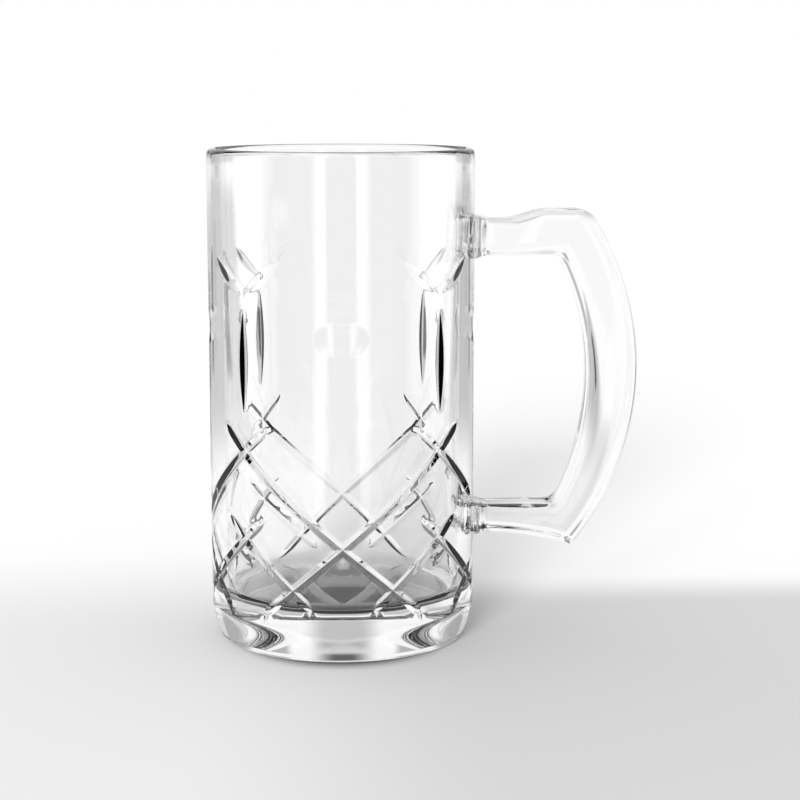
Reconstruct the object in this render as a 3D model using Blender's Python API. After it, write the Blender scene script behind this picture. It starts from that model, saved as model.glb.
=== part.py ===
"""Juice mug: a heavy clear-glass tumbler with mitre cuts and an applied D handle.

Units are metres and +Z is up. The tumbler stands on z = 0 with its axis on the
origin, and the handle points towards +X. The two pieces are separate solids:
the tumbler with its heavy base, and the handle with its two roots.
"""

import math

import bmesh
import bpy
from mathutils import Matrix, Vector

# Tumbler sizes
HEIGHT = 0.145
BODY_RADIUS = 0.0393
RIM_THICKNESS = 0.0034
WALL_AT_FLOOR = 0.0046
BASE_THICKNESS = 0.0128
FLOOR_FILLET = 0.006
HEEL_HEIGHT = 0.0105
HEEL_INSET = 0.0021
FOOT_EDGE = 0.0014

# Cuts in the outside of the tumbler
CUT_HALF_ANGLE = math.radians(56.0)
CUT_OVERHEAD = 0.0009
CUT_EXIT = 0.0001
LATTICE_DEPTH = 0.00105
LATTICE_CROSS_Z = 0.0336
LATTICE_RISE = 0.0262
LATTICE_UP = math.radians(57.5)
LATTICE_DOWN = math.radians(35.0)
LATTICE_RUN_OUT = 0.007
SHORT_CROSS_RISE = 0.0009
SHORT_UP = math.radians(10.5)
STEM_CLEAR_OF_LATTICE = 0.0104
STEM_CLEAR_OF_LEAVES = 0.0039
STEM_DEPTH = 0.00115
PLAIN_BAND = 0.0304
LEAF_RISE = 0.0097
LEAF_FOOT_ANGLE = math.radians(0.5)
LEAF_TIP_ANGLE = math.radians(19.5)
LEAF_DEPTH = 0.00105
DIMPLE_BELOW_STEM_TOP = 0.0076
DIMPLE_HALF_WIDTH = 0.0076
DIMPLE_HALF_HEIGHT = 0.0052
DIMPLE_DEPTH = 0.0012
DIMPLE_OVERHEAD = 0.003

# Handle sizes
WELD_GAP = 0.0003
ROOT_SINK = 0.0025
ARM_BELOW_RIM = 0.0203
ARM_THICKNESS = 0.0111
THUMB_RISE = 0.0025
THUMB_RAMP_START = 0.0102
THUMB_RAMP_LENGTH = 0.0110
THUMB_CORNER = 0.007
THUMB_LEAD = 0.004
FINGER_ROOM = 0.0336
GRIP_THICKNESS = 0.0147
GRIP_INNER_RADIUS = 0.080
GRIP_INNER_RISE = 0.0011
GRIP_OUTER_RADIUS = 0.084
GRIP_OUTER_RISE = 0.0036
INNER_CORNER = 0.004
LOWER_TOP_Z = 0.0391
LOWER_THICKNESS = 0.0082
SPUR_DROP = 0.0041
SPUR_EDGE = 0.0016
SPUR_LEAD = 0.0045
ARM_HALF_WIDTH = 0.0072
GRIP_HALF_WIDTH = 0.0084
ROOT_FLARE_WIDTH = 0.0020
ROOT_FLARE_HEIGHT = 0.0010
ROOT_FLARE_LENGTH = 0.0045
ROOT_CLEAR_OF_CUTS = 0.0023

# Counts and curve powers
COLUMNS = 4
SEGMENTS = 88
WALL_RINGS = 9
SECTION_POINTS = 20
DIMPLE_POINTS = 22
SECTION_POWER = 2.7
HEEL_POWER = 1.6
SPUR_POWER = 2.2
GRIP_TOP_SHARE = 0.86
GRIP_BOTTOM_SHARE = 0.75

# Sizes that follow from the ones above
INNER_FLOOR_RADIUS = BODY_RADIUS - WALL_AT_FLOOR
PANEL_STEP = 2.0 * math.pi / COLUMNS
COLUMN_ANGLE = PANEL_STEP / 2.0
HANDLE_ANGLE = math.radians(90.0)
LATTICE_PITCH = LATTICE_RISE / COLUMN_ANGLE
LEAF_TIP_Z = HEIGHT - PLAIN_BAND
LEAF_FOOT_Z = LEAF_TIP_Z - LEAF_RISE
STEM_TOP_Z = LEAF_FOOT_Z - STEM_CLEAR_OF_LEAVES
STEM_BOTTOM_Z = LATTICE_CROSS_Z + LATTICE_RISE + STEM_CLEAR_OF_LATTICE
DIMPLE_Z = STEM_TOP_Z - DIMPLE_BELOW_STEM_TOP
ROOT_HALF_WIDTH = ARM_HALF_WIDTH + ROOT_FLARE_WIDTH
PAD_HALF_ANGLE = math.asin((ROOT_HALF_WIDTH + ROOT_CLEAR_OF_CUTS) / BODY_RADIUS)
ARM_TOP_Z = HEIGHT - ARM_BELOW_RIM
ARM_UNDER_Z = ARM_TOP_Z - ARM_THICKNESS
THUMB_TOP_Z = ARM_TOP_Z + THUMB_RISE
LOWER_UNDER_Z = LOWER_TOP_Z - LOWER_THICKNESS
SPUR_Z = LOWER_UNDER_Z - SPUR_DROP
FINGER_MIDDLE_Z = (ARM_UNDER_Z + LOWER_TOP_Z) / 2.0
GRIP_INNER_X = BODY_RADIUS + FINGER_ROOM
GRIP_INNER_CENTRE = (GRIP_INNER_X - GRIP_INNER_RADIUS, FINGER_MIDDLE_Z + GRIP_INNER_RISE)
GRIP_OUTER_X = GRIP_INNER_X + GRIP_THICKNESS
GRIP_OUTER_CENTRE = (GRIP_OUTER_X - GRIP_OUTER_RADIUS, FINGER_MIDDLE_Z + GRIP_OUTER_RISE)


def arc_points(centre, radius, start, end, steps):
    """Points of an arc in a plane, both ends included, angles in radians."""
    points = []
    for index in range(steps + 1):
        angle = start + (end - start) * index / steps
        points.append((centre[0] + radius * math.cos(angle), centre[1] + radius * math.sin(angle)))
    return points


def line_points(start, end, steps):
    """Points of a straight run in a plane, both ends included."""
    points = []
    for index in range(steps + 1):
        share = index / steps
        points.append((start[0] + (end[0] - start[0]) * share, start[1] + (end[1] - start[1]) * share))
    return points


def ease(value):
    """Smooth step from 0 to 1."""
    value = min(1.0, max(0.0, value))
    return value * value * (3.0 - 2.0 * value)


def new_object(name, bm):
    """Turn a bmesh into a scene object with outward faces."""
    bmesh.ops.recalc_face_normals(bm, faces=bm.faces[:])
    mesh = bpy.data.meshes.new(name)
    bm.to_mesh(mesh)
    bm.free()
    obj = bpy.data.objects.new(name, mesh)
    bpy.context.scene.collection.objects.link(obj)
    return obj


def lathe(name, profile):
    """Spin a profile of (radius, height) points about Z into a closed solid."""
    bm = bmesh.new()
    verts = [bm.verts.new((radius, 0.0, height)) for radius, height in profile]
    edges = [bm.edges.new(pair) for pair in zip(verts[:-1], verts[1:])]
    bmesh.ops.spin(
        bm,
        geom=verts + edges,
        cent=(0.0, 0.0, 0.0),
        axis=(0.0, 0.0, 1.0),
        angle=2.0 * math.pi,
        steps=SEGMENTS,
        use_merge=True,
    )
    bmesh.ops.remove_doubles(bm, verts=bm.verts[:], dist=1e-6)
    return new_object(name, bm)


def loft(name, rings_list):
    """Join lists of rings with quads and cap both ends; each list is one closed body."""
    bm = bmesh.new()
    for rings in rings_list:
        loops = [[bm.verts.new(point) for point in ring] for ring in rings]
        count = len(loops[0])
        for first, second in zip(loops[:-1], loops[1:]):
            for index in range(count):
                after = (index + 1) % count
                bm.faces.new((first[index], first[after], second[after], second[index]))
        bm.faces.new(loops[0])
        bm.faces.new(loops[-1])
    return new_object(name, bm)


def tumbler_profile():
    """Half section of the tumbler from the inside floor, over the rim, to the underside."""
    floor_centre = (INNER_FLOOR_RADIUS - FLOOR_FILLET, BASE_THICKNESS + FLOOR_FILLET)
    lip_radius = RIM_THICKNESS / 2.0
    lip_centre = (BODY_RADIUS - lip_radius, HEIGHT - lip_radius)
    foot_radius = BODY_RADIUS - HEEL_INSET
    profile = [(0.0, BASE_THICKNESS)]
    profile += arc_points(floor_centre, FLOOR_FILLET, -math.pi / 2.0, 0.0, 6)
    profile += arc_points(lip_centre, lip_radius, math.pi, 0.0, 10)
    profile += line_points((BODY_RADIUS, LEAF_TIP_Z), (BODY_RADIUS, HEEL_HEIGHT), WALL_RINGS)
    for index in range(1, 5):
        share = index / 5.0
        height = HEEL_HEIGHT + (FOOT_EDGE - HEEL_HEIGHT) * share
        profile.append((BODY_RADIUS - HEEL_INSET * share ** HEEL_POWER, height))
    profile += arc_points((foot_radius - FOOT_EDGE, FOOT_EDGE), FOOT_EDGE, 0.0, -math.pi / 2.0, 4)
    profile.append((0.0, 0.0))
    return profile


def surface_point(angle, height):
    """Point and outward direction on the outside wall; angle 0 faces -Y and grows towards +X."""
    outward = Vector((math.sin(angle), -math.cos(angle), 0.0))
    return outward * BODY_RADIUS + Vector((0.0, 0.0, height)), outward


def cut_rings(start, end, depth, run_out, steps):
    """Rings of a V cutter that follows the wall from start to end, each (angle, height)."""
    width = abs(end[0] - start[0]) * BODY_RADIUS
    length = math.hypot(width, end[1] - start[1])
    along_angle = (end[0] - start[0]) * BODY_RADIUS / length
    along_height = (end[1] - start[1]) / length
    rings = []
    for index in range(steps + 1):
        share = index / steps
        angle = start[0] + (end[0] - start[0]) * share
        height = start[1] + (end[1] - start[1]) * share
        point, outward = surface_point(angle, height)
        round_wall = Vector((math.cos(angle), math.sin(angle), 0.0))
        along = round_wall * along_angle + Vector((0.0, 0.0, along_height))
        across = outward.cross(along)
        inside = min(share, 1.0 - share) * length
        here = depth * (1.0 - (1.0 - min(1.0, inside / run_out)) ** 2) - CUT_EXIT
        half = (here + CUT_OVERHEAD) * math.tan(CUT_HALF_ANGLE)
        top = point + outward * CUT_OVERHEAD
        rings.append((point - outward * here, top + across * half, top - across * half))
    return rings


def lattice_rings(side, centre, cross_z, spans):
    """Cutters of one diagonal of the lattice, in spans of angle about the line it crosses on."""
    rings_list = []
    for low, high in spans:
        start = (centre + side * low, cross_z - low * LATTICE_PITCH)
        end = (centre + side * high, cross_z - high * LATTICE_PITCH)
        steps = max(6, round(math.degrees(high - low) / 5.0))
        rings_list.append(cut_rings(start, end, LATTICE_DEPTH, LATTICE_RUN_OUT, steps))
    return rings_list


def short_cut_rings(centre, low, high, depth, steps):
    """Cutter of one short cut that tapers to both ends, its ends given about a centre line."""
    start = (centre + low[0], low[1])
    end = (centre + high[0], high[1])
    half_length = math.hypot((high[0] - low[0]) * BODY_RADIUS, high[1] - low[1]) / 2.0
    return cut_rings(start, end, depth, half_length, steps)


def dimple_ring(centre, share, lift):
    """One oval ring about a dimple's middle, lifted off the wall or sunk below it."""
    ring = []
    for index in range(DIMPLE_POINTS):
        turn = 2.0 * math.pi * (index + 0.5) / DIMPLE_POINTS
        angle = centre + share * DIMPLE_HALF_WIDTH / BODY_RADIUS * math.sin(turn)
        point, outward = surface_point(angle, DIMPLE_Z + share * DIMPLE_HALF_HEIGHT * math.cos(turn))
        ring.append(point + outward * lift)
    return ring


def dimple_rings(centre):
    """Rings of the cutter of one shallow oval dimple, from its bottom out past the wall."""
    shares = (0.12, 0.42, 0.68, 0.88, 1.12)
    rings = [dimple_ring(centre, share, DIMPLE_DEPTH * (share * share - 1.0)) for share in shares]
    rings.append(dimple_ring(centre, shares[-1], DIMPLE_OVERHEAD))
    return rings


def pattern_cutters():
    """All the cutters of the pattern, one object per family of cuts that don't meet."""
    panels = [HANDLE_ANGLE + index * PANEL_STEP for index in range(COLUMNS)]
    columns = [centre + COLUMN_ANGLE for centre in panels]
    whole = [(-LATTICE_UP, LATTICE_DOWN)]
    round_root = [(-LATTICE_UP, -PAD_HALF_ANGLE), (PAD_HALF_ANGLE, LATTICE_DOWN)]
    short = [(-SHORT_UP, LATTICE_DOWN)]
    cutters = []
    for name, side in (("cut_lattice_right", 1.0), ("cut_lattice_left", -1.0)):
        rings_list = lattice_rings(side, panels[0], LATTICE_CROSS_Z, round_root)
        for centre in panels[1:]:
            rings_list += lattice_rings(side, centre, LATTICE_CROSS_Z, whole)
        for centre in columns:
            rings_list += lattice_rings(side, centre, LATTICE_CROSS_Z + SHORT_CROSS_RISE, short)
        cutters.append(loft(name, rings_list))
    stem = ((0.0, STEM_BOTTOM_Z), (0.0, STEM_TOP_Z))
    rings_list = [short_cut_rings(centre, stem[0], stem[1], STEM_DEPTH, 8) for centre in columns]
    cutters.append(loft("cut_stem", rings_list))
    for name, side in (("cut_leaf_right", 1.0), ("cut_leaf_left", -1.0)):
        low = (side * LEAF_FOOT_ANGLE, LEAF_FOOT_Z)
        high = (side * LEAF_TIP_ANGLE, LEAF_TIP_Z)
        rings_list = [short_cut_rings(centre, low, high, LEAF_DEPTH, 8) for centre in columns]
        cutters.append(loft(name, rings_list))
    cutters.append(loft("cut_dimple", [dimple_rings(centre) for centre in panels]))
    return cutters


def fillet(level, radius, side, grip_centre, grip_radius):
    """Centre, and angle about the grip's centre, of a rounding between a level edge and the grip."""
    height = level - side * radius
    reach = grip_radius - radius
    rise = height - grip_centre[1]
    centre = (grip_centre[0] + math.sqrt(reach * reach - rise * rise), height)
    return centre, math.atan2(rise, centre[0] - grip_centre[0])


def arm_top(x):
    """Height of the top edge of the upper arm, with its step up to the thumb rest."""
    share = ease((x - BODY_RADIUS - THUMB_RAMP_START) / THUMB_RAMP_LENGTH)
    return ARM_TOP_Z + (THUMB_TOP_Z - ARM_TOP_Z) * share


def lower_under(x, tip_x):
    """Height of the bottom edge of the lower arm, falling to the spur."""
    share = max(0.0, (x - BODY_RADIUS) / (tip_x - BODY_RADIUS))
    return LOWER_UNDER_Z + (SPUR_Z - LOWER_UNDER_Z) * share ** SPUR_POWER


def handle_edges():
    """Inner and outer edge of the handle in the XZ plane, as matching lists of points."""
    root_x = BODY_RADIUS - ROOT_SINK
    half_turn = math.pi / 2.0
    inside = (GRIP_INNER_CENTRE, GRIP_INNER_RADIUS)
    outside = (GRIP_OUTER_CENTRE, GRIP_OUTER_RADIUS)
    upper, upper_angle = fillet(ARM_UNDER_Z, INNER_CORNER, 1.0, *inside)
    lower, lower_angle = fillet(LOWER_TOP_Z, INNER_CORNER, -1.0, *inside)
    thumb, thumb_angle = fillet(THUMB_TOP_Z, THUMB_CORNER, 1.0, *outside)
    spur, spur_angle = fillet(SPUR_Z, SPUR_EDGE, -1.0, *outside)
    arm_steps = 12
    thumb_start = upper[0] + THUMB_LEAD
    grip_top = thumb_angle * GRIP_TOP_SHARE
    grip_bottom = spur_angle * GRIP_BOTTOM_SHARE

    inner = line_points((root_x, ARM_UNDER_Z), (upper[0], ARM_UNDER_Z), arm_steps)
    inner += arc_points(upper, INNER_CORNER, half_turn, upper_angle, 9)[1:]
    inner += arc_points(*inside, upper_angle, lower_angle, 14)[1:]
    inner += arc_points(lower, INNER_CORNER, lower_angle, -half_turn, 9)[1:]
    inner += line_points((lower[0], LOWER_TOP_Z), (root_x, LOWER_TOP_Z), arm_steps)[1:]

    outer = []
    for index in range(arm_steps + 1):
        x = root_x + (thumb_start - root_x) * index / arm_steps
        outer.append((x, arm_top(x)))
    outer += line_points((thumb_start, THUMB_TOP_Z), (thumb[0], THUMB_TOP_Z), 2)[1:]
    outer += arc_points(thumb, THUMB_CORNER, half_turn, thumb_angle, 4)[1:]
    outer += arc_points(*outside, thumb_angle, grip_top, 3)[1:]
    outer += arc_points(*outside, grip_top, grip_bottom, 14)[1:]
    outer += arc_points(*outside, grip_bottom, spur_angle, 4)[1:]
    outer += arc_points(spur, SPUR_EDGE, spur_angle, -half_turn, 3)[1:]
    after = spur[0] - SPUR_LEAD
    outer += line_points((spur[0], SPUR_Z), (after, lower_under(after, spur[0])), 2)[1:]
    for index in range(1, arm_steps + 1):
        x = after + (root_x - after) * index / arm_steps
        outer.append((x, lower_under(x, spur[0])))
    return inner, outer


def handle_rings():
    """Cross sections of the handle from its upper root, round the grip, to its lower root."""
    rings = []
    for near, far in zip(*handle_edges()):
        near = Vector((near[0], 0.0, near[1]))
        far = Vector((far[0], 0.0, far[1]))
        centre = (near + far) / 2.0
        reach = max(0.0, centre.x - BODY_RADIUS)
        flare = (1.0 - min(1.0, reach / ROOT_FLARE_LENGTH)) ** 2
        across = (far - near).normalized()
        half_height = (far - near).length / 2.0 + ROOT_FLARE_HEIGHT * flare
        share = ease((centre.x - BODY_RADIUS) / (THUMB_RAMP_START + THUMB_RAMP_LENGTH))
        half_width = ARM_HALF_WIDTH + (GRIP_HALF_WIDTH - ARM_HALF_WIDTH) * share
        half_width += ROOT_FLARE_WIDTH * flare
        ring = []
        for index in range(SECTION_POINTS):
            angle = 2.0 * math.pi * (index + 0.5) / SECTION_POINTS
            cosine = math.cos(angle)
            sine = math.sin(angle)
            high = math.copysign(abs(cosine) ** (2.0 / SECTION_POWER), cosine) * half_height
            wide = math.copysign(abs(sine) ** (2.0 / SECTION_POWER), sine) * half_width
            ring.append(centre + across * high + Vector((0.0, wide, 0.0)))
        rings.append(ring)
    return rings


def cut_away(obj, cutters):
    """Subtract the cutters from a piece and keep the result as its own mesh."""
    for cutter in cutters:
        cutter.hide_render = True
        cutter.display_type = "WIRE"
        modifier = obj.modifiers.new(cutter.name, "BOOLEAN")
        modifier.operation = "DIFFERENCE"
        modifier.solver = "EXACT"
        modifier.object = cutter
    depsgraph = bpy.context.evaluated_depsgraph_get()
    mesh = bpy.data.meshes.new_from_object(obj.evaluated_get(depsgraph))
    obj.modifiers.clear()
    obj.data = mesh
    mesh.name = obj.name
    for cutter in cutters:
        bpy.data.objects.remove(cutter, do_unlink=True)


def finish_piece(obj, colour, roughness):
    """Smooth shading with sharp cut edges, and the piece's own clear glass."""
    mesh = obj.data
    mesh.polygons.foreach_set("use_smooth", [True] * len(mesh.polygons))
    mesh.set_sharp_from_angle(angle=math.radians(28.0))
    material = bpy.data.materials.new(obj.name + "_glass")
    material.use_nodes = True
    shader = material.node_tree.nodes["Principled BSDF"]
    shader.inputs["Base Color"].default_value = colour
    shader.inputs["Roughness"].default_value = roughness
    shader.inputs["IOR"].default_value = 1.52
    shader.inputs["Transmission Weight"].default_value = 1.0
    mesh.materials.clear()
    mesh.materials.append(material)


def build_tumbler():
    """The tumbler with its heavy base and its cut pattern."""
    tumbler = lathe("tumbler", tumbler_profile())
    cut_away(tumbler, pattern_cutters())
    finish_piece(tumbler, (0.97, 0.985, 0.98, 1.0), 0.02)
    return tumbler


def build_handle():
    """The handle, its two roots shaped to the tumbler wall with the weld gap between."""
    handle = loft("handle", [handle_rings()])
    seat_radius = BODY_RADIUS + WELD_GAP
    seat = lathe("handle_seat", [(0.0, HEIGHT), (seat_radius, HEIGHT), (seat_radius, 0.0), (0.0, 0.0)])
    cut_away(handle, [seat])
    finish_piece(handle, (0.97, 0.985, 0.98, 1.0), 0.03)
    return handle


for old in list(bpy.data.objects):
    bpy.data.objects.remove(old, do_unlink=True)

build_tumbler()
build_handle()
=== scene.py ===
"""Studio picture of a clear glass juice mug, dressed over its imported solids."""

import logging
import math
from dataclasses import dataclass
from enum import Enum
from typing import ClassVar

import bmesh
import bpy
import numpy as np
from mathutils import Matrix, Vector
from mathutils.geometry import delaunay_2d_cdt


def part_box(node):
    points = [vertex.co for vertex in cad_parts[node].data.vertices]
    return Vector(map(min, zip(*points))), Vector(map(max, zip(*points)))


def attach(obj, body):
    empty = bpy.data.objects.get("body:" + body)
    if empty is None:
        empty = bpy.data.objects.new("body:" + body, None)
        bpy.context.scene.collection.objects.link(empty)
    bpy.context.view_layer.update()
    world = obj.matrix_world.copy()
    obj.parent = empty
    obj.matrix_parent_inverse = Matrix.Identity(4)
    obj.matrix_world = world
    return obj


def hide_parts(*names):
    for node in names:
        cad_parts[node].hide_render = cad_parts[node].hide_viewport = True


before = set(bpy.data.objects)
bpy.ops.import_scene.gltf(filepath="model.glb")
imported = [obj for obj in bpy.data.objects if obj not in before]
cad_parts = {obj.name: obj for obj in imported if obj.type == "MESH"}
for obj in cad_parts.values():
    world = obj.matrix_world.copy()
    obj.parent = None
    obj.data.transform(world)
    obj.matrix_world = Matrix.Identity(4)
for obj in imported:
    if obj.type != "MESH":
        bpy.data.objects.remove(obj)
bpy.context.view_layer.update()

LOG = logging.getLogger("juice_mug")

MM = 0.001
QUARTER = math.pi / 2.0
TINY = 1e-12
WHITE = (1.0, 1.0, 1.0, 1.0)
BLACK = (0.0, 0.0, 0.0, 1.0)

# Lines laid along a cut and rings laid round a hollow, as shares of the way from middle to brim
CUT_LINES = (0.0, 0.07, 0.5, 0.92, 1.0, 1.08, 1.3)
HOLLOW_RINGS = (0.12, 0.25, 0.4, 0.55, 0.7, 0.82, 0.92, 0.97, 1.0, 1.03, 1.1)
LEAST_CUT_STEPS = 8
LEAST_RING_STEPS = 12


def smooth_step(value: np.ndarray | float) -> np.ndarray | float:
    """Ease from 0 to 1 with level ends."""
    value = np.clip(value, 0.0, 1.0)
    return value * value * (3.0 - 2.0 * value)


def soft_max(first: np.ndarray, second: np.ndarray, width: float) -> np.ndarray:
    """Larger of two values, rounded over a width where they are nearly equal."""
    share = np.clip(width - np.abs(first - second), 0.0, None) / width
    return np.maximum(first, second) + share * share * width / 4.0


def arc(centre: tuple[float, float], radius: float, start: float, end: float, steps: int) -> np.ndarray:
    """Points of an arc in a plane from one angle to another, both ends included."""
    angle = np.linspace(start, end, steps + 1)
    return np.stack((centre[0] + radius * np.cos(angle), centre[1] + radius * np.sin(angle)), axis=1)


def line(start: tuple[float, float], end: tuple[float, float], steps: int) -> np.ndarray:
    """Points of a straight run in a plane, both ends included."""
    share = np.linspace(0.0, 1.0, steps + 1)[:, None]
    return np.asarray(start) * (1.0 - share) + np.asarray(end) * share


def to_object(name: str, bm: bmesh.types.BMesh) -> bpy.types.Object:
    """Turn a bmesh into a smooth shaded object in the scene.

    Args:
        name: Name of the object.
        bm: Mesh, which is freed.

    Returns:
        The new object.
    """
    mesh = bpy.data.meshes.new(name)
    bm.to_mesh(mesh)
    bm.free()
    mesh.shade_smooth()
    obj = bpy.data.objects.new(name, mesh)
    bpy.context.scene.collection.objects.link(obj)
    return obj


def bridge(bm: bmesh.types.BMesh, rings: list[list[bmesh.types.BMVert]]) -> None:
    """Join closed rings of points, each to the next, with faces.

    Args:
        bm: Mesh to add to.
        rings: Points of each ring, all of the same count.
    """
    for first, second in zip(rings[:-1], rings[1:]):
        for index in range(len(first)):
            after = (index + 1) % len(first)
            corners = (first[index], first[after], second[after], second[index])
            bm.faces.new(list(dict.fromkeys(corners)))


def combine(
    tree: bpy.types.NodeTree, operation: str, first: bpy.types.NodeSocket, second: bpy.types.NodeSocket
) -> bpy.types.NodeSocket:
    """Add a math node to a shader tree.

    Args:
        tree: The tree.
        operation: What the node does with its two values.
        first: Socket of the first value.
        second: Socket of the second value.

    Returns:
        Socket of the result.
    """
    node = tree.nodes.new("ShaderNodeMath")
    node.operation = operation
    tree.links.new(first, node.inputs[0])
    tree.links.new(second, node.inputs[1])
    return node.outputs[0]


def group_socket(group: bpy.types.NodeTree, name: str, way: str, value: float | None = None) -> None:
    """Add a number socket to a shader group.

    Args:
        group: The group.
        name: Name of the socket.
        way: INPUT or OUTPUT.
        value: Default of an input.
    """
    socket = group.interface.new_socket(name=name, in_out=way, socket_type="NodeSocketFloat")
    if value is not None:
        socket.default_value = value


@dataclass(frozen=True)
class PressedSkin:
    """Shader group for the skin of pressed glass: a slow ripple, and scuffs low on the foot."""

    name: str = "pressed_skin"
    ripple_scale: float = 70.0
    ripple_detail: float = 1.0
    scuff_scale: float = 900.0
    scuff: float = 0.2
    foot_height: float = 1.2 * MM

    def group(self) -> bpy.types.NodeTree:
        """Make the group, or find it where it is made already.

        Returns:
            The group, with outputs Ripple and Roughness.
        """
        if self.name in bpy.data.node_groups:
            return bpy.data.node_groups[self.name]
        group = bpy.data.node_groups.new(self.name, "ShaderNodeTree")
        group_socket(group, "Foot Height", "INPUT", self.foot_height)
        group_socket(group, "Scuff", "INPUT", self.scuff)
        group_socket(group, "Ripple", "OUTPUT")
        group_socket(group, "Roughness", "OUTPUT")
        nodes, links = group.nodes, group.links
        entry, leave = nodes.new("NodeGroupInput"), nodes.new("NodeGroupOutput")
        place_of = nodes.new("ShaderNodeTexCoord")
        ripple = nodes.new("ShaderNodeTexNoise")
        ripple.inputs["Scale"].default_value = self.ripple_scale
        ripple.inputs["Detail"].default_value = self.ripple_detail
        links.new(place_of.outputs["Object"], ripple.inputs["Vector"])
        links.new(ripple.outputs["Fac"], leave.inputs["Ripple"])
        apart = nodes.new("ShaderNodeSeparateXYZ")
        links.new(place_of.outputs["Object"], apart.inputs[0])
        low = nodes.new("ShaderNodeMapRange")
        low.interpolation_type = "SMOOTHSTEP"
        low.inputs["To Min"].default_value = 1.0
        low.inputs["To Max"].default_value = 0.0
        links.new(apart.outputs["Z"], low.inputs["Value"])
        links.new(entry.outputs["Foot Height"], low.inputs["From Max"])
        scuff = nodes.new("ShaderNodeTexNoise")
        scuff.inputs["Scale"].default_value = self.scuff_scale
        links.new(place_of.outputs["Object"], scuff.inputs["Vector"])
        rubbed = low.outputs["Result"]
        for factor in (scuff.outputs["Fac"], entry.outputs["Scuff"]):
            rubbed = combine(group, "MULTIPLY", rubbed, factor)
        links.new(rubbed, leave.inputs["Roughness"])
        return group


@dataclass(frozen=True)
class ClearGlass:
    """Fire-polished clear glass."""

    name: str
    tint: tuple[float, float, float, float] = (0.995, 0.998, 0.996, 1.0)
    veil: tuple[float, float, float, float] = (0.7, 0.7, 0.7, 1.0)
    shade: tuple[float, float, float, float] = (0.3, 0.3, 0.3, 1.0)
    ior: float = 1.51
    ripple_height: float = 0.004 * MM
    scuff: float = 0.05

    def material(self) -> bpy.types.Material:
        """Make the material.

        Returns:
            Glass whose cast shade is thin, as clear glass casts it.
        """
        material = bpy.data.materials.new(self.name)
        material.use_nodes = True
        nodes, links = material.node_tree.nodes, material.node_tree.links
        shader = nodes["Principled BSDF"]
        shader.inputs["Base Color"].default_value = self.tint
        shader.inputs["IOR"].default_value = self.ior
        shader.inputs["Transmission Weight"].default_value = 1.0
        skin = nodes.new("ShaderNodeGroup")
        skin.node_tree = PressedSkin().group()
        skin.inputs["Scuff"].default_value = self.scuff
        links.new(skin.outputs["Roughness"], shader.inputs["Roughness"])
        bump = nodes.new("ShaderNodeBump")
        bump.inputs["Distance"].default_value = self.ripple_height
        links.new(skin.outputs["Ripple"], bump.inputs["Height"])
        links.new(bump.outputs["Normal"], shader.inputs["Normal"])
        path = nodes.new("ShaderNodeLightPath")
        surface = shader.outputs["BSDF"]
        for ray, colour in (("Is Diffuse Ray", self.veil), ("Is Shadow Ray", self.shade)):
            thin = nodes.new("ShaderNodeBsdfTransparent")
            thin.inputs["Color"].default_value = colour
            mix = nodes.new("ShaderNodeMixShader")
            links.new(path.outputs[ray], mix.inputs["Fac"])
            links.new(surface, mix.inputs[1])
            links.new(thin.outputs["BSDF"], mix.inputs[2])
            surface = mix.outputs["Shader"]
        links.new(surface, nodes["Material Output"].inputs["Surface"])
        return material


TUMBLER_GLASS = ClearGlass("tumbler_glass")
HANDLE_GLASS = ClearGlass("handle_glass", shade=(0.85, 0.85, 0.85, 1.0))


class GlassPiece:
    """A piece of the mug that stands for one CAD node and is dressed in glass."""

    node: ClassVar[str]
    glass: ClassVar[ClearGlass]

    def build(self) -> bpy.types.Object:
        """Make the mesh, which each piece does in its own way."""
        raise NotImplementedError

    def dress(self, obj: bpy.types.Object) -> None:
        """Give the mesh its glass, and let it stand for its CAD node.

        Args:
            obj: The finished mesh.
        """
        obj.data.materials.append(self.glass.material())
        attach(obj, "root")
        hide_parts(self.node)
        LOG.info("%s: %d faces for node %s", obj.name, len(obj.data.polygons), self.node)


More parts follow.
